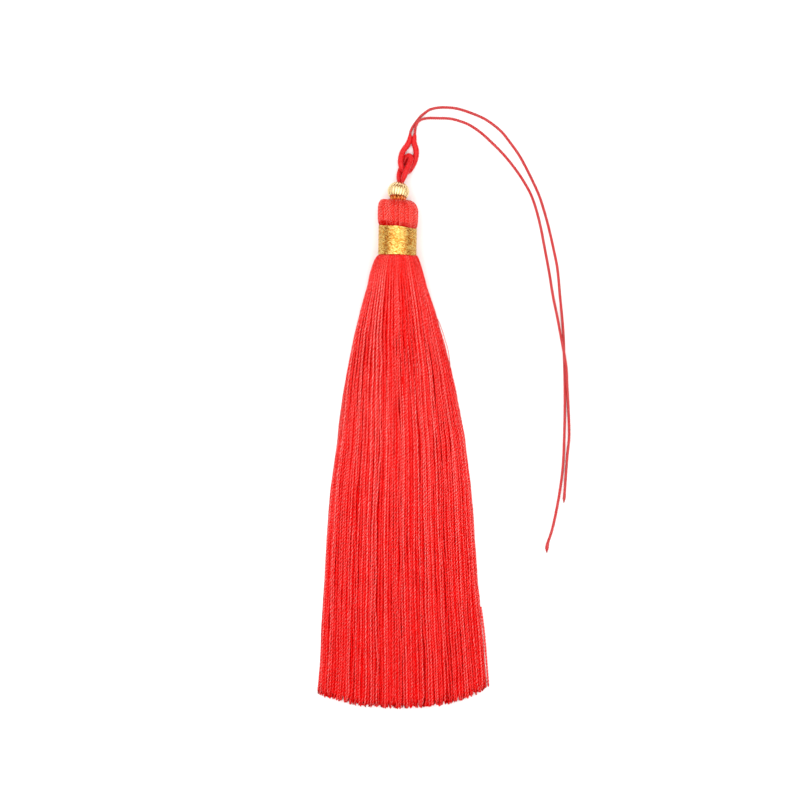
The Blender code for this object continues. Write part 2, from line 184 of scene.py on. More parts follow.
SURFACING_FROM = 20.0
SURFACED_BY = (36.0, 78.0)
WANDERS = ((74.0, 0.5), (29.0, 0.35), (12.0, 0.15), (6.5, 0.08))
WANDER_EASE = (0.0, 30.0)
WANDER_REACH = 0.3
INNER_WANDER_REACH = 0.1
INNER_FULLNESS = 1.4
HEIGHT_REACH = 0.15
CROSSING_EVERY = 9
CROSSING_PART = (0.12, 0.88)
CROSSING_REACH = 0.6
CROSSING_HEIGHT = 0.3
CROSSING_EASE = (12.0, 30.0)
TIP_SPLAY = 0.26
TIP_SPLAY_LENGTH = 3.0
SEED = 11

# Shells of skirt threads on the upper or lower side. Those without an inset lie outermost and show, and the
# others fill the furrows behind them. step is the distance between a thread's rings, and part says from where
# to where the threads are laid, from 0 at the left to 1 at the right.
Shell = namedtuple("Shell", ("name", "upper", "sides", "step", "inset", "part"))
TOP_SHELLS = (
    Shell("skirt_top_left", True, 8, TURN_LENGTH / 6, 0.0, (0.0, 1 / 3)),
    Shell("skirt_top_middle", True, 8, TURN_LENGTH / 6, 0.0, (1 / 3, 2 / 3)),
    Shell("skirt_top_right", True, 8, TURN_LENGTH / 6, 0.0, (2 / 3, 1.0)),
)
OTHER_SHELLS = (
    Shell("skirt_top_inner", True, 4, TURN_LENGTH / 3, 0.32, (0.02, 0.98)),
    Shell("skirt_under_inner", False, 4, TURN_LENGTH / 1.1, 0.75, (0.05, 0.95)),
    Shell("skirt_under", False, 5, TURN_LENGTH / 3, 0.0, (0.0, 1.0)),
)

# Threads parted from the skirt's right edge: each one's radius, and its route
LOOSE_THREADS = (
    (
        0.11,
        (
            (9.1, 30.4, 2.6),
            (10.36, 27.7, 2.4),
            (11.2, 25.5, 2.2),
            (12.0, 22.9, 2.0),
            (12.8, 20.1, 1.8),
            (13.4, 16.0, 1.7),
        ),
    ),
    (0.3, ((22.0, -52.0, 0.9), (23.0, -60.0, 0.6), (23.65, -68.0, 0.5), (24.15, -74.3, 0.45))),
)

# Wrapped loops, close to the CAD model's routes. A row's last number is a share of the whole thickness.
LOOP_RADIUS = 0.84
THIN_SHARE = 0.6
WRAP_PITCH = 0.34
WRAP_DEPTH = 0.07
LEG_SPACING = 0.95
LEG_PLACES = (-4.6, -2.3, 0.0, 3.0)
BEAD_LOOP_ROUTE = (
    (-1.0, 68.3, 2.70, 0.9),
    (-0.84, 69.4, 1.65, 1.0),
    (-0.6, 70.5, 0.95, 1.0),
    (0.0, 72.0, 0.75, 1.0),
    (0.6, 73.5, 0.75, 1.0),
    (1.20, 74.4, 0.90, 1.0),
    (1.95, 74.65, 1.40, 1.0),
    (2.35, 74.0, 1.95, 1.0),
    (2.05, 72.8, 2.60, 1.0),
    (1.45, 71.4, 3.25, 1.0),
    (0.95, 70.1, 3.65, 1.0),
    (0.45, 68.7, 3.70, 0.9),
)
TOP_RING_ROUTE = (
    (2.15, 80.8, 0.62, 0.48),
    (2.12, 79.95, 0.72, 0.76),
    (2.0, 79.2, 0.78, 0.88),
    (1.48, 77.9, 0.85, 1.0),
    (0.16, 76.0, 1.25, 1.0),
    (-0.40, 74.3, 2.05, 1.0),
    (-0.55, 72.9, 2.55, 1.0),
    (-0.30, 71.6, 2.60, 1.0),
    (0.25, 70.6, 2.15, 1.0),
    (1.00, 70.15, 1.65, 1.0),
    (1.80, 70.5, 1.35, 1.0),
    (2.55, 71.5, 1.00, 1.0),
    (3.27, 72.9, 0.78, 1.0),
    (3.72, 74.5, 0.75, 1.0),
    (3.80, 76.4, 0.75, 1.0),
    (3.3, 78.1, 0.85, 1.0),
    (3.25, 79.2, 0.78, 0.88),
    (3.36, 79.95, 0.74, 0.76),
    (3.5, 80.8, 0.74, 0.48),
)

# Thin free cords, close to the CAD model's routes. The shown radius is that of the plies' crests.
CORD_SHOWN_RADIUS = 0.41
CORD_WAIST = 0.82
CORD_TURN = 1.7
CORD_TIP = 0.35
LONG_CORD_MELTED = 1.3
SHORT_CORD_MELTED = 1.1
CORD_LONG_ROUTE = (
    (2.13, 80.4, 0.66),
    (2.32, 81.6, 0.46),
    (2.9, 82.9, 0.39),
    (3.9, 84.3, 0.38),
    (5.0, 85.7, 0.38),
    (6.3, 86.8, 0.38),
    (7.7, 87.7, 0.38),
    (10.5, 88.3, 0.38),
    (14.7, 88.1, 0.38),
    (18.6, 87.0, 0.38),
    (23.4, 84.9, 0.38),
    (27.6, 81.7, 0.38),
    (30.2, 78.5, 0.38),
    (32.7, 75.0, 0.38),
    (35.0, 70.8, 0.38),
    (38.2, 64.0, 0.38),
    (39.8, 59.2, 0.38),
    (41.1, 54.4, 0.38),
    (42.5, 48.2, 0.38),
    (43.5, 43.1, 0.38),
    (44.2, 35.7, 0.38),
    (45.1, 26.0, 0.38),
    (45.4, 18.0, 0.38),
    (45.6, 8.4, 0.38),
    (45.5, -1.6, 0.38),
    (45.1, -11.8, 0.38),
    (44.35, -18.3, 0.38),
    (43.25, -24.7, 0.38),
    (41.95, -30.5, 0.38),
    (40.7, -34.4, 0.38),
    (40.5, -36.7, 0.5),
)
CORD_SHORT_ROUTE = (
    (3.42, 80.4, 0.72),
    (3.5, 81.6, 0.8),
    (3.75, 83.1, 1.1),
    (4.35, 84.2, 1.3),
    (5.4, 84.9, 1.2),
    (7.3, 85.3, 0.6),
    (10.2, 85.3, 0.38),
    (13.1, 85.2, 0.38),
    (15.4, 84.7, 0.38),
    (18.6, 83.5, 0.38),
    (21.8, 81.4, 0.38),
    (24.7, 78.8, 0.38),
    (28.2, 75.3, 0.38),
    (31.4, 71.4, 0.38),
    (34.0, 67.6, 0.38),
    (36.0, 64.0, 0.38),
    (37.5, 59.8, 0.38),
    (38.8, 54.7, 0.38),
    (39.8, 49.5, 0.38),
    (41.3, 41.4, 0.4),
    (42.2, 35.7, 0.7),
    (43.5, 29.2, 1.2),
    (44.5, 23.8, 1.5),
    (45.4, 19.0, 1.5),
    (46.0, 15.0, 1.35),
    (46.2, 10.6, 0.85),
    (46.6, 3.4, 0.4),
    (46.8, -4.1, 0.38),
    (46.3, -9.3, 0.38),
    (45.9, -14.4, 0.38),
    (45.6, -18.9, 0.38),
    (45.3, -22.7, 0.5),
)

# Silk: where its looks change, in millimetres up from a skirt thread's cut end
DEEPER_BELOW = (5.0, 95.0)
DULLER_BELOW = (0.0, 95.0)
SMOOTH_ABOVE = (98.0, 122.0)
MATT_ABOVE = (117.0, 125.0)

# Silk: where a head thread is shaded or lit, in millimetres from its start inside the band
BAND_SHADE = (1.9, 3.9)
BEAD_SHADE = (6.4, 9.0)
RIM_SHADE = (9.8, 11.0)
RIM_LIGHT = (10.8, 12.0)
SHADED_SILK = (0.5, 0.002, 0.001)
LIT_SILK = (1.0, 0.34, 0.08)

# Silk of each kind. light and dark are the range of the threads' tones and spread is how far single threads
# differ. The tone is painted lighter on the plies' crests and darker between them, as highlight and shade.
# valley_shade is the painted shade between the plies, tip is at the cut end and deep is what the skirt
# turns to lower down. fibre_scale sets how fine the fibres are, shine how strongly the ridges reflect and
# spot_shade how dark the painted shade is in small random spots along each thread.
SILKS = {
    "thin_cord": {
        "light": (0.62, 0.066, 0.068),
        "dark": (0.53, 0.036, 0.04),
        "valley_shade": (0.4, 0.016, 0.018),
        "tip": (0.2, 0.006, 0.008),
        "plies": 3,
        "fibre_scale": 9.0,
    },
    "floss": {
        "light": (0.94, 0.046, 0.033),
        "dark": (0.84, 0.009, 0.007),
        "valley_shade": (0.5, 0.0005, 0.0005),
        "tip": (0.5, 0.002, 0.001),
        "tip_length": 3.0,
        "deep": (0.72, 0.006, 0.005),
        "plies": 2,
        "spread": 1.0,
        "shine": 1.15,
        "spot_shade": 0.35,
    },
    "head_floss": {
        "light": (0.96, 0.066, 0.04),
        "dark": (0.84, 0.022, 0.012),
        "valley_shade": (0.55, 0.003, 0.002),
        "plies": 2,
        "spread": 0.9,
        "shine": 0.9,
        "spot_shade": 0.35,
        "head": True,
    },
    # Painted shade: a darker, duller copy of the floss for the inner shells that show in the gaps.
    "shaded_inner_floss": {
        "light": (0.8, 0.003, 0.002),
        "dark": (0.7, 0.001, 0.001),
        "valley_shade": (0.58, 0.0005, 0.0005),
        "plies": 2,
        "shine": 0.1,
    },
    "wrapped_cord": {
        "light": (0.7, 0.024, 0.026),
        "dark": (0.58, 0.01, 0.012),
        "valley_shade": (0.42, 0.004, 0.004),
        "fibre_scale": 14.0,
        "shine": 0.2,
    },
}

# Light: the world's strength overhead, at the horizon and where the camera sees it past the floor, and the
# heights between which the horizon turns into sky. The lamp's and the floor's sizes are in metres.
SKY_STRENGTH = 1.5
HORIZON_STRENGTH = 0.26
BACKDROP_STRENGTH = 0.92
SKY_HEIGHTS = (0.28, 0.56)
HORIZON_COLOUR = (1.0, 0.36, 0.06)
LAMP_SIDE = 1.4
LAMP_WATTS = 5.0
LAMP_PLACE = (-0.06, 0.05, 0.9)
FLOOR_SIDE = 12.0


# Geometry helpers


def unit(vectors):
    return vectors / np.linalg.norm(vectors, axis=-1, keepdims=True)


def eased(values, start, end):
    """0 up to start and 1 from end, with a soft passage between."""
    share = np.clip((np.asarray(values, float) - start) / (end - start), 0, 1)
    return share * share * (3 - 2 * share)


def travelled(path):
    """The distance along a path at each of its points."""
    return np.concatenate(([0.0], np.cumsum(np.linalg.norm(np.diff(path, axis=0), axis=1))))


def evened(path, step):
    """The path with its points a step apart."""
    along = travelled(path)
    places = np.linspace(0, along[-1], max(2, round(along[-1] / step) + 1))
    return np.column_stack([np.interp(places, along, path[:, i]) for i in range(3)])


def smooth_route(points, step):
    """A smooth curve through the route's points, with its own points a step apart."""
    rows = [Vector(point) for point in points]
    ends = [rows[0] * 2 - rows[1], *rows, rows[-1] * 2 - rows[-2]]
    found = [rows[0]]
    for before, start, end, after in zip(ends, ends[1:], ends[2:], ends[3:]):
        reach = (end - start).length / 3
        handle_out = start + (end - before).normalized() * reach
        handle_in = end - (after - start).normalized() * reach
        found.extend(interpolate_bezier(start, handle_out, handle_in, end, 25)[1:])
    return evened(np.array(found), step)


def axis_matrix():
    """The tassel's axis, in millimetres: Z up the tassel, X to the right and Y down to the floor."""
    turn = Matrix.Rotation(AXIS_LEAN, 4, "Z") @ Matrix.Rotation(-math.pi / 2, 4, "X")
    return Matrix.Translation((BAND_X, BAND_Y, AXIS_HEIGHT)) @ turn


def bead_matrix():
    """The bead's place in millimetres, with its Z axis along its hole."""
    centre = axis_matrix() @ Vector((0, 0, BEAD_ABOVE_BAND_MIDDLE))
    centre.z -= BEAD_SAG
    turn = Matrix.Rotation(BEAD_TURN, 4, "Z") @ Matrix.Rotation(-math.pi / 2 - BEAD_DROOP, 4, "X")
    return Matrix.Translation(centre) @ turn


def moved(matrix, points):
    """Points carried by a matrix."""
    numbers = np.array(matrix)
    return points @ numbers[:3, :3].T + numbers[:3, 3]


class Strands:
    """Collects tubes into one mesh.

    Its Strand map holds a tube's number plus the place around it, and the place along it.
    """

    def __init__(self):
        self.points = []
        self.quads = []
        self.triangles = []
        self.quad_places = []
        self.triangle_places = []
        self.size = 0
        self.number = 0

    def add(
        self,
        path,
        upward,
        radii,
        plies=1,
        waist=1.0,
        turn=None,
        sides=6,
        from_end=False,
        phase=0.0,
        uneven=0.0,
    ):
        """Adds a tube of twisted plies along a path.

        upward lies across the path. waist is the share of the radius left between the plies, turn one turn's
        length, phase the turn at the start and uneven how far the twist runs ahead and falls behind.
        from_end measures the places along the tube from its end.
        """
        ahead = unit(np.gradient(path, axis=0))
        side = unit(np.cross(upward, ahead))
        up = np.cross(ahead, side)
        along = travelled(path)
        around = np.arange(sides) / sides
        spin = phase + (along / turn if turn else along * 0)
        spin = spin + uneven * np.sin(math.tau * (along / TWIST_DRIFT + 5 * phase))
        angle = math.tau * (around + spin[:, None])
        waist = np.reshape(waist, (-1, 1))
        section = waist + (1 - waist) * np.abs(np.cos(math.pi * plies * around))
        reach = np.asarray(radii)[:, None] * section
        across = np.cos(angle)[..., None] * side[:, None] + np.sin(angle)[..., None] * up[:, None]
        rings = path[:, None] + reach[..., None] * across
        ends = np.array([path[0] - ahead[0] * radii[0] * 0.5, path[-1] + ahead[-1] * radii[-1] * 0.5])
        self.points.append(np.concatenate((rings.reshape(-1, 3), ends)))
        self._faces(len(path), sides, along[-1] - along if from_end else along)
        self.size += len(path) * sides + 2
        self.number += 1

    def _faces(self, count, sides, along):
        """Adds the faces of a tube with this many rings, and the places of their corners."""
        ring = np.arange(count - 1)[:, None] * sides
        first = np.arange(sides)[None, :]
        second = (first + 1) % sides
        quads = np.stack((ring + first, ring + second, ring + sides + second, ring + sides + first), -1)
        self.quads.append(quads.reshape(-1, 4) + self.size)
        low = self.number + first / sides + along[:-1, None] * 0
        high = low + 1 / sides
        near = along[:-1, None] + low * 0
        far = along[1:, None] + low * 0
        corners = ((low, near), (high, near), (high, far), (low, far))
        self.quad_places.append(np.stack([np.stack(corner, -1) for corner in corners], -2).reshape(-1, 4, 2))
        start, end = count * sides, count * sides + 1
        last = (count - 1) * sides
        fans = [(start, j, i) for i, j in zip(first[0], second[0])]
        fans += [(end, last + i, last + j) for i, j in zip(first[0], second[0])]
        self.triangles.append(np.array(fans) + self.size)
        for reach, order in ((along[0], (1, 0)), (along[-1], (0, 1))):
            for i in first[0]:
                places = [self.number + (i + share) / sides for share in (0.5, *order)]
                self.triangle_places.append([(place, reach) for place in places])

    def finished(self, name, material):
        """The tubes as one object."""
        quad_places = np.concatenate(self.quad_places).reshape(-1, 2)
        triangle_places = np.array(self.triangle_places).reshape(-1, 2)
        return mesh_piece(
            name,
            np.concatenate(self.points),
            np.concatenate(self.quads),
            np.concatenate(self.triangles),
            np.concatenate((quad_places, triangle_places)),
            material,
        )


def mesh_piece(name, points, quads, triangles, places, material):
    """An object from points in millimetres, its faces and the Strand places of their corners."""
    mesh = bpy.data.meshes.new(name)
    corners = np.concatenate((quads.ravel(), triangles.ravel())).astype(np.int32)
    starts = np.concatenate((np.arange(len(quads)) * 4, len(quads) * 4 + np.arange(len(triangles)) * 3))
    mesh.vertices.add(len(points))
    mesh.vertices.foreach_set("co", (points * MM).astype(np.float32).ravel())
    mesh.loops.add(len(corners))
    mesh.loops.foreach_set("vertex_index", corners)
    mesh.polygons.add(len(starts))
    mesh.polygons.foreach_set("loop_start", starts.astype(np.int32))
    mesh.update(calc_edges=True)
    mesh.shade_smooth()
    layer = mesh.uv_layers.new(name=STRAND_MAP)
    layer.data.foreach_set("uv", places.astype(np.float32).ravel())
    mesh.materials.append(material)
    mesh.validate()
    made = bpy.data.objects.new(name, mesh)
    bpy.context.scene.collection.objects.link(made)
    return made


def carried(piece, slot, *nodes):
    """Lets a piece ride on the tassel in place of the CAD nodes."""
    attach(piece, "root")
    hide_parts(*nodes)
    return piece


# Materials


def node(tree, kind, values=(), **settings):
    """Adds a node with its settings, and the value of each input or the output that feeds it."""
    made = tree.nodes.new(kind)
    for name, value in settings.items():
        setattr(made, name, value)
    for socket, value in dict(values).items():
        if isinstance(value, bpy.types.NodeSocket):
            tree.links.new(value, made.inputs[socket])
        else:
            made.inputs[socket].default_value = value
    return made


def calculated(tree, operation, first, second=0.0, third=0.0):
    """The result of a sum or another operation on numbers or outputs."""
    return node(tree, "ShaderNodeMath", {0: first, 1: second, 2: third}, operation=operation).outputs[0]


def ranged(tree, value, low, high, new_low=0.0, new_high=1.0):
    """The value's range from low to high, carried softly to a new range."""
    values = {"Value": value, "From Min": low, "From Max": high, "To Min": new_low, "To Max": new_high}
    return node(tree, "ShaderNodeMapRange", values, interpolation_type="SMOOTHSTEP").outputs["Result"]


def blended(tree, share, first, second):
    """A colour between two others. Each is a colour or an output."""
    mix = node(tree, "ShaderNodeMix", data_type="RGBA")
    for name, value in (("Factor_Float", share), ("A_Color", first), ("B_Color", second)):
        socket = next(s for s in mix.inputs if s.identifier == name)
        if isinstance(value, bpy.types.NodeSocket):
            tree.links.new(value, socket)
        else:
            socket.default_value = (*value, 1.0) if isinstance(value, tuple) else value
    return next(s for s in mix.outputs if s.identifier == "Result_Color")


def noise(tree, place, detail=2.0, roughness=0.5):
    """A soft random value that changes from place to place."""
    values = {"Vector": place, "Scale": 1.0, "Detail": detail, "Roughness": roughness}
    return node(tree, "ShaderNodeTexNoise", values).outputs["Fac"]


def new_material(name, roughness, **settings):
    """A principled material with constants on its shader. Returns the material, its tree and the shader."""
    material = bpy.data.materials.new(name)
    material.use_nodes = True
    shader = material.node_tree.nodes["Principled BSDF"]
    shader.inputs["Roughness"].default_value = roughness
    for socket, value in settings.items():
        shader.inputs[socket.replace("_", " ")].default_value = value
    return material, material.node_tree, shader


def strand_places(tree):
    """The tube's number, the place around it from 0 to 1 and the place along it in millimetres."""
    place = node(tree, "ShaderNodeUVMap", uv_map=STRAND_MAP).outputs[0]
    parts = node(tree, "ShaderNodeSeparateXYZ", {0: place})
    number = calculated(tree, "FLOOR", parts.outputs["X"])
    around = calculated(tree, "SUBTRACT", parts.outputs["X"], number)
    return number, around, parts.outputs["Y"]


def vector(tree, x, y, z=0.0):
    """A vector from numbers or outputs."""
    return node(tree, "ShaderNodeCombineXYZ", {"X": x, "Y": y, "Z": z}).outputs[0]


def bumped(tree, shader, height, distance):
    """Adds fine relief. The distance is how far a height of 1 stands out, in millimetres."""
    values = {"Height": height, "Distance": distance * MM, "Strength": 1.0}
    tree.links.new(node(tree, "ShaderNodeBump", values).outputs[0], shader.inputs["Normal"])


def head_shade(tree, number, along):
    """How shaded a head thread is: beside the band, most at the left, below the bead and at the rim."""
    azimuth = calculated(tree, "MULTIPLY", number, math.tau / HEAD_THREADS)
    leftness = ranged(tree, calculated(tree, "COSINE", azimuth), -1.0, 1.0, 1.0, 0.35)
    beside_band = calculated(tree, "MULTIPLY", ranged(tree, along, *BAND_SHADE, 1.8, 0.0), leftness)
    frontness = ranged(tree, calculated(tree, "SINE", azimuth), -1.0, -0.7, 0.6, 0.0)
    below_bead = calculated(tree, "MULTIPLY", ranged(tree, along, *BEAD_SHADE), frontness)
    gathered = calculated(tree, "MAXIMUM", below_bead, ranged(tree, along, *RIM_SHADE))
    return calculated(tree, "MAXIMUM", beside_band, gathered)


def strand_noise(tree, number, number_scale, along, along_scale):
    """A soft random value that changes along each thread and from thread to thread."""
    x = calculated(tree, "MULTIPLY", number, number_scale)
    y = calculated(tree, "MULTIPLY", along, along_scale)
    return noise(tree, vector(tree, x, y), detail=1.0)


def fibre_noise(tree, number, around, along, fibre_scale):
    """The fine fibres along each thread."""
    x = calculated(tree, "MULTIPLY_ADD", around, fibre_scale, calculated(tree, "MULTIPLY", number, 7.3))
    return noise(tree, vector(tree, x, calculated(tree, "MULTIPLY", along, 0.9)), detail=3.0)


def ply_crest(tree, around, along, plies, smooth_neck):
    """1 on the crest of a ply and 0 between plies, evened out near the neck of the skirt."""
    wave = calculated(tree, "COSINE", calculated(tree, "MULTIPLY", around, math.pi * plies))
    crest = calculated(tree, "ABSOLUTE", wave)
    if not smooth_neck:
        return crest
    evenness = ranged(tree, along, *SMOOTH_ABOVE, 0.0, 0.6)
    rest = calculated(tree, "SUBTRACT", 1.0, evenness)
    return calculated(tree, "MULTIPLY_ADD", crest, rest, calculated(tree, "MULTIPLY", evenness, 0.6))


def silk_material(
    name,
    light,
    dark,
    valley_shade,
    tip=None,
    tip_length=1.0,
    deep=None,
    plies=0,
    fibre_scale=8.0,
    spread=0.5,
    shine=0.6,
    spot_shade=0.2,
    head=False,
):
    """Silk: plies with shaded valleys, fine fibres along them and a tone of each thread's own.

    head adds what only the head's threads show: their shaded ends and the lit rim.
    """
    material, tree, shader = new_material(name, 0.3, IOR=SILK_IOR, Subsurface_Weight=0.4)
    shader.inputs["Subsurface Radius"].default_value = (1.0, 0.05, 0.04)
    shader.inputs["Subsurface Scale"].default_value = 0.0008
    number, around, along = strand_places(tree)
    crest = ply_crest(tree, around, along, plies, smooth_neck=deep is not None)
    fibres = fibre_noise(tree, number, around, along, fibre_scale)
    tone = strand_noise(tree, number, 3.7, along, 0.07)
    patchiness = strand_noise(tree, number, 5.1, along, 0.16)
    grain = strand_noise(tree, number, 3.1, along, 2.2)

    chance = node(tree, "ShaderNodeTexWhiteNoise", {"W": number}, noise_dimensions="1D").outputs["Value"]
    share = calculated(tree, "MULTIPLY_ADD", chance, spread, calculated(tree, "MULTIPLY", tone, 0.5))
    share = calculated(tree, "MULTIPLY_ADD", fibres, 0.5, calculated(tree, "SUBTRACT", share, spread / 2))
    # Painted highlight and shade: the tone leans to light on the plies' crests and to dark between them.
    ridge = ranged(tree, crest, 0.3, 0.95, 0.4, 0.0) if plies else 0.2
    colour = blended(tree, calculated(tree, "ADD", share, ridge), light, dark)
    if deep:
        colour = blended(tree, ranged(tree, along, *DEEPER_BELOW, 0.6, 0.0), colour, deep)
    # Painted shade between the plies, deeper in some stretches of a thread than in others.
    sharpness = ranged(tree, patchiness, 0.3, 0.65, 0.55, 1.0)
    shadow = calculated(tree, "MULTIPLY", ranged(tree, crest, 0.05, 0.7, 0.5, 0.0), sharpness)
    colour = blended(tree, shadow, colour, valley_shade)
    # Painted shade in small random spots along each thread, in the colour between the plies.
    colour = blended(tree, ranged(tree, grain, 0.32, 0.55, spot_shade, 0.0), colour, valley_shade)
    ragged = ranged(tree, tone, 0.38, 0.6, 0.25, 1.0)
    if head:
        shade = calculated(tree, "MULTIPLY", head_shade(tree, number, along), ragged)
        colour = blended(tree, shade, colour, SHADED_SILK)
        lit = calculated(tree, "MULTIPLY", ranged(tree, along, *RIM_LIGHT), ranged(tree, crest, 0.1, 0.7))
        colour = blended(tree, lit, colour, LIT_SILK)
    if tip:
        cut = ranged(tree, along, 0.1, tip_length, 1.0, 0.0)
        colour = blended(tree, calculated(tree, "MULTIPLY", cut, ragged), colour, tip)
    tree.links.new(colour, shader.inputs["Base Color"])

    sheen = ranged(tree, crest, 0.35, 1.0, 0.2 * shine, shine)
    sheen = calculated(tree, "MULTIPLY", sheen, ranged(tree, share, 0.0, 1.0, 1.25, 0.35))
    sheen = calculated(tree, "MULTIPLY", sheen, ranged(tree, grain, 0.32, 0.68, 0.65, 1.3))
    if deep:
        sheen = calculated(tree, "MULTIPLY", sheen, ranged(tree, along, *DULLER_BELOW, 0.7, 1.0))
        sheen = calculated(tree, "MULTIPLY", sheen, ranged(tree, along, *MATT_ABOVE, 1.0, 0.5))
    if head:
        sheen = calculated(tree, "MULTIPLY", sheen, calculated(tree, "SUBTRACT", 1.0, shade))
    tree.links.new(sheen, shader.inputs["Specular IOR Level"])
    tree.links.new(ranged(tree, fibres, 0.3, 0.7, 0.2, 0.34), shader.inputs["Roughness"])
    height = calculated(tree, "MULTIPLY_ADD", fibres, 0.35, crest)
    bumped(tree, shader, height, 0.09)
    return material


def gold_thread_material():
    """Metallic thread: a flat foil wound slantwise round a core, whose facets catch the light unevenly."""
    material, tree, shader = new_material("gold_thread", 0.3, Metallic=1.0)
    number, around, along = strand_places(tree)
    slant = calculated(tree, "MULTIPLY_ADD", along, 1.0 / 0.62, around)
    facet_place = vector(
        tree,
        calculated(tree, "FLOOR", slant),
        calculated(tree, "FLOOR", calculated(tree, "MULTIPLY", along, 1.5)),
        number,
    )
    # Each facet takes a random colour between dark orange and pale gold: painted glints and dark reflections,
    # beside the real tilt that the bump gives it.
    chance = node(tree, "ShaderNodeTexWhiteNoise", {"Vector": facet_place}).outputs["Value"]
    colour = blended(tree, chance, (0.66, 0.24, 0.008), (0.97, 0.79, 0.27))
    ridge = calculated(tree, "PINGPONG", slant, 0.5)
    colour = blended(tree, ranged(tree, ridge, 0.0, 0.12, 0.6, 0.0), colour, (0.6, 0.24, 0.02))
    tree.links.new(colour, shader.inputs["Base Color"])
    tree.links.new(ranged(tree, chance, 0.0, 1.0, 0.18, 0.34), shader.inputs["Roughness"])
    height = calculated(tree, "MULTIPLY_ADD", chance, 0.4, ranged(tree, ridge, 0.0, 0.2))
    bumped(tree, shader, height, 0.045)
    return material


def bead_material():
    """Pale gold plating, a little worn, with painted shade in its flutes towards both ends."""
    material, tree, shader = new_material("gold_bead", 0.2, Metallic=1.0)
    _, around, along = strand_places(tree)
    flute = calculated(tree, "PINGPONG", calculated(tree, "MULTIPLY", around, FLUTES), 0.5)
    x = calculated(tree, "MULTIPLY", around, 26.0)
    y = calculated(tree, "MULTIPLY", along, 1.5)
    patchiness = noise(tree, vector(tree, x, y), detail=4.0, roughness=0.6)
    valley_shade = ranged(tree, calculated(tree, "MULTIPLY_ADD", patchiness, 0.12, flute), 0.3, 0.5)
    colour = blended(tree, patchiness, (0.86, 0.71, 0.38), (0.8, 0.6, 0.29))
    ends = ranged(tree, calculated(tree, "ABSOLUTE", along), 0.7, 1.7, 0.05, 1.0)
    # Painted shade: the flutes' valleys turn dark brown towards both ends of the bead.
    colour = blended(tree, calculated(tree, "MULTIPLY", valley_shade, ends), colour, (0.2, 0.08, 0.015))
    tree.links.new(colour, shader.inputs["Base Color"])
    tree.links.new(ranged(tree, patchiness, 0.3, 0.75, 0.12, 0.34), shader.inputs["Roughness"])
    bumped(tree, shader, patchiness, 0.02)
    return material


# Stage


def place_camera():
    """Looks straight down, with the photograph's frame at the tassel's middle height."""
    camera = bpy.data.objects.new("camera", bpy.data.cameras.new("camera"))
    bpy.context.scene.collection.objects.link(camera)
    camera.data.lens = LENS
    camera.data.sensor_width = SENSOR
    distance = PICTURE_SIDE * PIXEL * LENS / SENSOR
    x = (PICTURE_SIDE / 2 - PIXEL_OF_X_ZERO) * PIXEL
    y = (PIXEL_OF_Y_ZERO - PICTURE_SIDE / 2) * PIXEL
    camera.location = (x * MM, y * MM, (SHARP_HEIGHT + distance) * MM)
    camera.data.clip_start = 0.1
    camera.data.clip_end = 20.0
    bpy.context.scene.camera = camera


def light_scene():
    """A soft bright sky over a darker horizon, and one large lamp overhead to the left."""
    scene = bpy.context.scene
    scene.view_settings.view_transform = "Standard"
    world = bpy.data.worlds.new("studio")
    world.use_nodes = True
    scene.world = world
    tree = world.node_tree
    direction = node(tree, "ShaderNodeTexCoord").outputs["Generated"]
    height = node(tree, "ShaderNodeSeparateXYZ", {0: direction}).outputs["Z"]
    share = ranged(tree, height, *SKY_HEIGHTS)
    sky = calculated(tree, "MULTIPLY_ADD", share, SKY_STRENGTH - HORIZON_STRENGTH, HORIZON_STRENGTH)
    seen = node(tree, "ShaderNodeLightPath").outputs["Is Camera Ray"]
    change = calculated(tree, "SUBTRACT", BACKDROP_STRENGTH, sky)
    strength = calculated(tree, "MULTIPLY_ADD", change, seen, sky)
    tree.links.new(strength, tree.nodes["Background"].inputs["Strength"])
    whiteness = calculated(tree, "MAXIMUM", share, seen)
    colour = blended(tree, whiteness, HORIZON_COLOUR, (1.0, 1.0, 1.0))
    tree.links.new(colour, tree.nodes["Background"].inputs["Color"])
    lamp = bpy.data.lights.new("softbox", "AREA")
    lamp.shape = "RECTANGLE"
    lamp.size = LAMP_SIDE
    lamp.size_y = LAMP_SIDE
    lamp.energy = LAMP_WATTS
    box = bpy.data.objects.new("softbox", lamp)
    scene.collection.objects.link(box)
    box.location = LAMP_PLACE
    box.rotation_euler = (Vector((0, 0, 0)) - box.location).to_track_quat("-Z", "Y").to_euler()


def lay_floor():
    """A plain pale floor."""
    reach = FLOOR_SIDE / 2
    corners = [(-reach, -reach, 0), (reach, -reach, 0), (reach, reach, 0), (-reach, reach, 0)]
    mesh = bpy.data.meshes.new("floor")
    mesh.from_pydata(corners, [], [(0, 1, 2, 3)])
    material, _, shader = new_material("floor", 0.9, Specular_IOR_Level=0.1)
    shader.inputs["Base Color"].default_value = (0.95, 0.95, 0.95, 1.0)
    mesh.materials.append(material)
    floor = bpy.data.objects.new("floor", mesh)
    bpy.context.scene.collection.objects.link(floor)


# Cords and loops


def free_cord(name, route, melted, material):
    """A thin cord of three twisted plies. Its end is a bulge, melted times as thick, and then a point."""
    path = smooth_route(route, 0.14)
    along = travelled(path)
    to_end = along[-1] - along
    swelling = 1 + (melted - 1) * eased(-to_end, -3.6, -1.6)
    radii = CORD_SHOWN_RADIUS * swelling * (CORD_TIP + (1 - CORD_TIP) * eased(to_end, 0.0, 1.3))
    strands = Strands()
    strands.add(path, (0, 0, 1), radii, plies=3, waist=CORD_WAIST, turn=CORD_TURN, sides=12, from_end=True)
    cord = carried(strands.finished(name + "_twisted", material), "thin_cord", name)
    return cord


def transported(path, start):
    """Directions across a path that turn as little as they can, beginning with start."""
    ahead = unit(np.gradient(path, axis=0))
    ups = [unit(start - ahead[0] * (ahead[0] @ start))]
    for direction in ahead[1:]:
        last = ups[-1]
        ups.append(unit(last - direction * (direction @ last)))
    return np.array(ups)


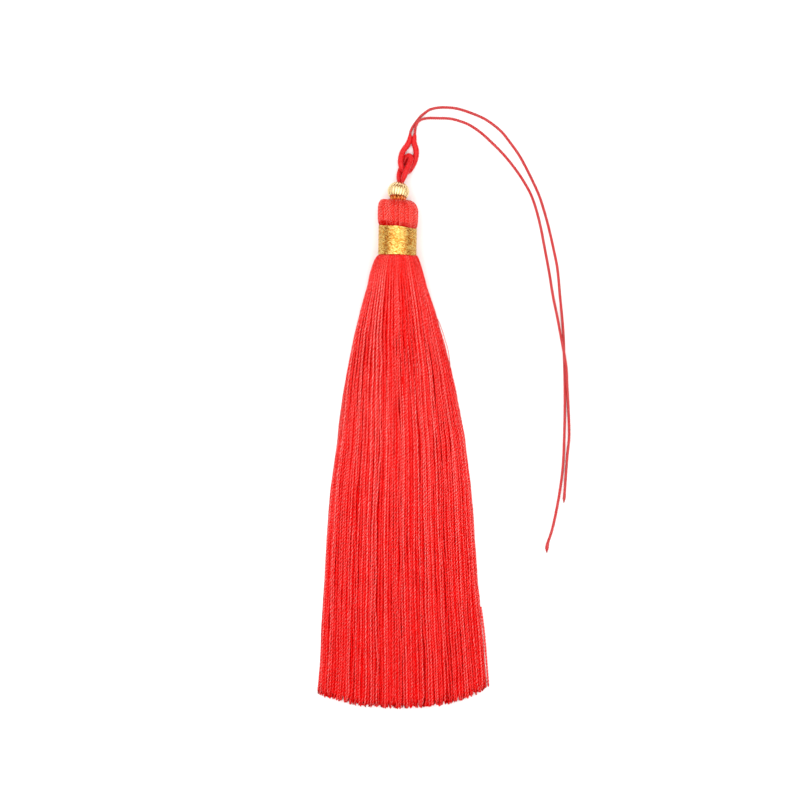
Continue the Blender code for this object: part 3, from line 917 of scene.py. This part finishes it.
def wrapped_loop(name, rows, material):
    """A core wrapped closely with silk thread, each turn a fine ridge."""
    route = np.array(rows)
    path = smooth_route(route[:, :3], 0.085)
    places = travelled(path)
    nearest = [np.argmin(np.linalg.norm(path - point, axis=1)) for point in route[:, :3]]
    radii = LOOP_RADIUS * np.interp(places, places[nearest], route[:, 3])
    ridges = 0.5 + 0.5 * np.cos(math.tau * places / WRAP_PITCH)
    upward = transported(path, np.array((0.0, 0.0, 1.0)))
    strands = Strands()
    strands.add(path, upward, radii * (1 - WRAP_DEPTH + WRAP_DEPTH * ridges), sides=18)
    return carried(strands.finished(name + "_wrapped", material), "wrapped_cord", name)


def leg_row(side, along):
    """A row of the loop's route inside the bead, on the left (-1) or right (1) and so far along its hole."""
    place = bead_matrix() @ Vector((side * LEG_SPACING / 2, 0, along))
    return (*place, THIN_SHARE)


# Bead and band


def build_bead(material):
    """The fluted bead: a turned skin with flutes from end to end, and the wall of its hole."""
    rows, sides = 44, FLUTES * 8
    reach = math.asin(BEAD_HOLE / BEAD_RADIUS)
    angles = np.linspace(reach, math.pi - reach, rows)
    radius = np.append(BEAD_RADIUS * np.sin(angles), (BEAD_HOLE, BEAD_HOLE))
    height = np.append(BEAD_HALF_LENGTH * np.cos(angles), (-BEAD_WALL_REACH, BEAD_WALL_REACH))
    turn = np.linspace(0, math.tau, sides + 1)[:-1]
    fullness = np.sqrt(np.clip((radius - BEAD_HOLE) / (BEAD_RADIUS - BEAD_HOLE), 0, 1))
    notch = np.abs(np.cos(FLUTES * turn / 2)) ** FLUTE_SHARPNESS
    depth = FLUTE_DEPTH * fullness[:, None] * (1 - notch)[None, :]
    reachable = radius[:, None] - depth
    level = np.broadcast_to(height[:, None], reachable.shape)
    points = np.stack((reachable * np.cos(turn), reachable * np.sin(turn), level), -1)
    count = len(radius)
    ring = np.arange(count)[:, None] * sides
    after = (np.arange(count)[:, None] + 1) % count * sides
    first = np.arange(sides)[None, :]
    second = (first + 1) % sides
    quads = np.stack((ring + first, after + first, after + second, ring + second), -1).reshape(-1, 4)
    low = (first / sides + ring * 0.0).ravel()
    high = low + 1 / sides
    near = (height[:, None] + first * 0.0).ravel()
    far = (np.roll(height, -1)[:, None] + first * 0.0).ravel()
    places = np.stack([np.stack(c, -1) for c in ((low, near), (low, far), (high, far), (high, near))], -2)
    points = moved(bead_matrix(), points.reshape(-1, 3))
    triangles = np.zeros((0, 3), int)
    bead = mesh_piece("bead_fluted", points, quads, triangles, places.reshape(-1, 2), material)
    return carried(bead, "gold_bead", "bead")


def band_dip(x, height):
    """How far the band's upper turns lie below their place, more so towards the right."""
    side = eased(x, -1.0, BAND_RADIUS)
    return BAND_DIP * side * np.clip((height - BAND_DIP_FROM) / (BAND_LENGTH / 2 - BAND_DIP_FROM), 0, 1.3)


def build_band(material):
    """One two-ply metallic thread wound round the neck, turn beside turn."""
    low, high = BAND_BOTTOM + GOLD_THREAD_RADIUS, BAND_TOP - GOLD_THREAD_RADIUS
    turns = (high - low) / WINDING_PITCH
    angle = np.linspace(-math.pi, math.tau * turns + math.pi, int(turns * WINDING_POINTS))
    centre = BAND_RADIUS + 0.05 - GOLD_THREAD_RADIUS
    height = np.clip(low + (angle / math.tau) * WINDING_PITCH, low, high)
    x, y = centre * np.cos(angle), centre * np.sin(angle)
    tilt = BAND_TILT * eased(x, 0.0, BAND_RADIUS) * np.clip(-height / BAND_LENGTH * 2, 0, 1)
    path = np.column_stack((x, y, height - band_dip(x, height) - tilt))
    radii = np.full(len(path), GOLD_THREAD_RADIUS)
    axis = np.array(axis_matrix())[:3, 2]
    strands = Strands()
    strands.add(moved(axis_matrix(), path), axis, radii, plies=2, waist=GOLD_WAIST, turn=GOLD_TURN)
    return carried(strands.finished("gold_winding", material), "gold_thread", "gold_band")


# Floss


def dimple_radius(height):
    """The radius of the hollow that the bead sits in, at a height above the band's edge."""
    clear = BEAD_RADIUS + 0.08 + HEAD_THREAD_RADIUS
    below = BEAD_ABOVE_BAND_MIDDLE - BAND_LENGTH / 2 - height
    return math.sqrt(max(0.01, clear * clear - below * below))


def head_thread_path(azimuth, lift, sunk):
    """One head thread, from inside the band over the shoulder, round the rim and down beside the bead."""
    off = math.remainder(azimuth - RUFFLE_AZIMUTH, math.tau)
    share = math.exp(-((off / RUFFLE_WIDTH) ** 4))
    rim = RIM_HEIGHT + (RUFFLE_RISE + lift) * share - sunk
    rows = [list(row) for row in HEAD_PATH]
    rows.append([dimple_radius(rim) + 0.15 + 0.5 * lift * share, rim, 1.0])
    for height in np.linspace(rim - 0.3, DIMPLE_BOTTOM, 4):
        rows.append([dimple_radius(height), height, 1.0])
    radius, height, centred = np.array(rows).T
    dip = float(band_dip(BAND_RADIUS * math.cos(azimuth), BAND_LENGTH / 2))
    height = height - dip * (1 - eased(height, 0.0, 3.5))
    radius = radius - sunk * eased(height, 0.0, 1.5)
    x = radius * math.cos(azimuth)
    y = radius * math.sin(azimuth) + BEAD_SAG * centred
    slant = SHOULDER_SLANT * x * np.clip((height - SHOULDER_FROM) / SHOULDER_EASE, 0, 1)
    z = height + BAND_LENGTH / 2 - slant * (1 - centred)
    y = np.minimum(y, AXIS_HEIGHT - HEAD_THREAD_RADIUS)
    return smooth_route(np.column_stack((x, y, z)), 0.27)


def build_head(material):
    """Two layers of threads over the shoulder: the outer one shows, and the inner one lies in its furrows."""
    draw = np.random.default_rng(SEED)
    strands = Strands()
    matrix = axis_matrix()
    for sunk, sides in HEAD_LAYERS:
        for i in range(HEAD_THREADS):
            place = i + draw.uniform(-0.12, 0.12) + (0.5 if sunk else 0.0)
            azimuth = math.tau * place / HEAD_THREADS
            lift = PUCKER_HEIGHT * math.cos(math.tau * i / PUCKER_THREADS) + draw.uniform(-0.1, 0.1)
            path = head_thread_path(azimuth, lift, sunk + draw.uniform(0.0, 0.06))
            across = np.array(matrix)[:3, :3] @ np.array((-math.sin(azimuth), math.cos(azimuth), 0.0))
            radii = np.full(len(path), HEAD_THREAD_RADIUS)
            phase = draw.uniform(0, 1)
            turn = draw.uniform(*HEAD_TURNS)
            waist = draw.uniform(*HEAD_WAISTS)
            strands.add(moved(matrix, path), across, radii, 2, waist, turn, sides, phase=phase)
    return carried(strands.finished("head_threads", material), "floss", "floss")


def skirt_rows(downs):
    """The skirt's table at these distances down, as a dictionary of its columns."""
    rows = np.array(SKIRT_ROWS)
    return {name: np.interp(downs, rows[:, 0], rows[:, i]) for i, name in enumerate(SKIRT_COLUMNS)}


def skirt_side(downs, fractions, upper):
    """Places evenly spaced from left to right along the upper or lower side of each section.

    Returns x, z and the outward direction's x and z, with one row for each distance down.
    """
    rows = skirt_rows(downs)
    across = -np.cos(np.linspace(0, math.pi, SECTION_STEPS))
    found = np.empty((4, len(downs), fractions.shape[-1]))
    for i in range(len(downs)):
        row = {name: rows[name][i] for name in SKIRT_COLUMNS}
        power = ROUND_POWER + (SETTLED_POWER - ROUND_POWER) * row["settled"]
        shape = np.maximum(0, 1 - np.abs(across) ** power) ** (1 / power)
        low = row["low"] + row["high"] * (1 - row["settled"]) * (1 - shape) / 2
        z = low + row["high"] * shape if upper else low
        x = (row["left"] + row["right"]) / 2 + (row["right"] - row["left"]) / 2 * across
        tangent = unit(np.gradient(np.column_stack((x, z)), axis=0))
        outward = (-tangent[:, 1], tangent[:, 0]) if upper else (tangent[:, 1], -tangent[:, 0])
        length = travelled(np.column_stack((x, z)))
        places = fractions[i] * length[-1]
        for k, values in enumerate((x, z, *outward)):
            found[k, i] = np.interp(places, length, values)
    return found


def drawn_locks(draw):
    """The phase and the sideways drift of each set of locks."""
    return draw.uniform(0, math.tau, len(LOCKS)), draw.uniform(-LOCK_DRIFT, LOCK_DRIFT, len(LOCKS))


def locked(fractions, downs, locks, gathered):
    """Gathers evenly spaced threads into locks, and says how far each stands proud of its lock's edge."""
    share = gathered * eased(downs, *LOCK_EASE)[:, None]
    shifted = np.broadcast_to(fractions, (len(downs), len(fractions))).copy()
    crown = np.zeros_like(shifted)
    for (count, strength), phase, drift in zip(LOCKS, *locks):
        angle = math.tau * count * fractions[None, :] + phase + drift * downs[:, None] / SKIRT_LENGTH
        shifted += share * strength / (math.tau * count) * np.sin(angle)
        crown -= share * strength * np.cos(angle)
    return np.clip(shifted, 0.002, 0.998), crown


def wandering(draw, downs, reach):
    """A slow drift along one thread that begins at nothing."""
    drift = np.zeros_like(downs)
    for length, share in WANDERS:
        drift += share * draw.uniform(0.4, 1) * np.sin(math.tau * downs / length + draw.uniform(0, math.tau))
    return reach * drift * eased(downs, *WANDER_EASE)


def sinking(draw, downs):
    """How deep a thread that is crowded out at the neck lies, until it comes up again further down."""
    end = draw.uniform(*SURFACED_BY)
    depth = SUNK_AT_NECK + SUNK_BELOW_NECK * eased(downs, *SINKING_EASE)
    return depth * (1 - eased(downs, SURFACING_FROM, end))


def cut_place(fraction, uneven):
    """How far down a thread is cut, which is higher towards the skirt's sides."""
    across = 2 * fraction - 1
    drop = TIP_DROP_LEFT if across < 0 else TIP_DROP_RIGHT
    return SKIRT_LENGTH - drop * abs(across) ** TIP_DROP_POWER + uneven


def build_shell(shell, material, draw, locks):
    """One shell of threads. The draws of those outside its part are made too, so that the parts match."""
    outer = not shell.inset
    fractions = (np.arange(THREADS_ABREAST) + (0.5 if outer else 0.0)) / THREADS_ABREAST
    downs = np.arange(SKIRT_START, SKIRT_LENGTH + 1.0, PLACE_STEP)
    radius = THREAD_RADIUS_AT_NECK + (THREAD_RADIUS - THREAD_RADIUS_AT_NECK) * eased(downs, 0, THREAD_FULL_AT)
    spread, crown = locked(fractions, downs, locks, 1.0 if outer else 0.0)
    x, z, out_x, out_z = skirt_side(downs, spread, shell.upper)
    strands = Strands()
    for i, fraction in enumerate(fractions):
        inside = CROSSING_PART[0] < fraction < CROSSING_PART[1]
        crossing = outer and inside and i % CROSSING_EVERY == CROSSING_EVERY // 2
        reach = CROSSING_REACH if crossing else WANDER_REACH if outer else INNER_WANDER_REACH
        side_drift = wandering(draw, downs, reach)
        height_drift = wandering(draw, downs, HEIGHT_REACH)
        depth = sinking(draw, downs) * ((i if shell.upper else i + 1) % 2)
        uneven = draw.uniform(-SHORTEST_LOSS, LONGEST_EXTRA) - (0.0 if shell.upper and outer else HIDDEN_LOSS)
        splay = draw.normal(0.0, TIP_SPLAY)
        turn = TURN_LENGTH * draw.uniform(*TURN_SPREAD)
        phase = draw.uniform(0, 1)
        waist = draw.uniform(*PLY_WAISTS)
        if not shell.part[0] <= fraction < shell.part[1]:
            continue
        if crossing:
            inward = radius - CROSSING_HEIGHT * eased(downs, *CROSSING_EASE)
        else:
            inward = radius + shell.inset + np.maximum(0.0, depth - LOCK_CROWN * crown[:, i] + height_drift)
        thread_x = x[:, i] - out_x[:, i] * inward + out_z[:, i] * side_drift
        thread_z = z[:, i] - out_z[:, i] * inward - out_x[:, i] * side_drift
        thread_z = np.maximum(thread_z, radius)
        tip = cut_place(fraction, uneven)
        rings = np.append(np.arange(downs[0], tip - shell.step / 2, shell.step), tip)
        ring_x = np.interp(rings, downs, thread_x)
        ring_x += splay * np.clip(1 - (tip - rings) / TIP_SPLAY_LENGTH, 0, 1) ** 2
        path = np.column_stack((ring_x, SKIRT_TOP_Y - rings, np.interp(rings, downs, thread_z)))
        radii = np.interp(rings, downs, radius) * (1.0 if outer else INNER_FULLNESS)
        radii[-1] *= 0.5
        relief = NECK_TWIST + (1 - NECK_TWIST) * eased(rings, *TWIST_EASE)
        waists = 1 - (1 - waist) * relief
        strands.add(path, (0, 0, 1), radii, 2, waists, turn, shell.sides, True, phase, TWIST_UNEVENNESS)
    return carried(strands.finished(shell.name, material), "floss", "floss")


def build_loose_threads(material):
    """Threads that have parted from the skirt's right edge."""
    strands = Strands()
    for radius, route in LOOSE_THREADS:
        path = smooth_route(route, TURN_LENGTH / 6)
        radii = np.full(len(path), radius)
        strands.add(path, (0, 0, 1), radii, 2, PLY_WAISTS[0], TURN_LENGTH, 6, from_end=True)
    return carried(strands.finished("skirt_loose_threads", material), "floss", "floss")


def build_skirt(material, shaded_inner_material):
    """The shells of the skirt. The three parts of the top one repeat the same draws."""
    draw = np.random.default_rng(SEED + 1)
    locks = drawn_locks(draw)
    for shell in TOP_SHELLS:
        build_shell(shell, material, np.random.default_rng(SEED + 2), locks)
    for shell in OTHER_SHELLS:
        locks = drawn_locks(draw)
        # The inset shells take the darker copy of the floss, which paints the shade into the gaps.
        build_shell(shell, shaded_inner_material if shell.inset else material, draw, locks)


def main():
    place_camera()
    silks = {name: silk_material(name, **looks) for name, looks in SILKS.items()}
    free_cord("cord_long", CORD_LONG_ROUTE, LONG_CORD_MELTED, silks["thin_cord"])
    free_cord("cord_short", CORD_SHORT_ROUTE, SHORT_CORD_MELTED, silks["thin_cord"])
    left, right = ([leg_row(side, along) for along in LEG_PLACES] for side in (-1, 1))
    wrapped_loop("bead_loop", [*left, *BEAD_LOOP_ROUTE, *right[::-1]], silks["wrapped_cord"])
    wrapped_loop("top_ring", TOP_RING_ROUTE, silks["wrapped_cord"])
    build_bead(bead_material())
    build_band(gold_thread_material())
    build_head(silks["head_floss"])
    build_skirt(silks["floss"], silks["shaded_inner_floss"])
    build_loose_threads(silks["floss"])
    lay_floor()
    light_scene()


main()
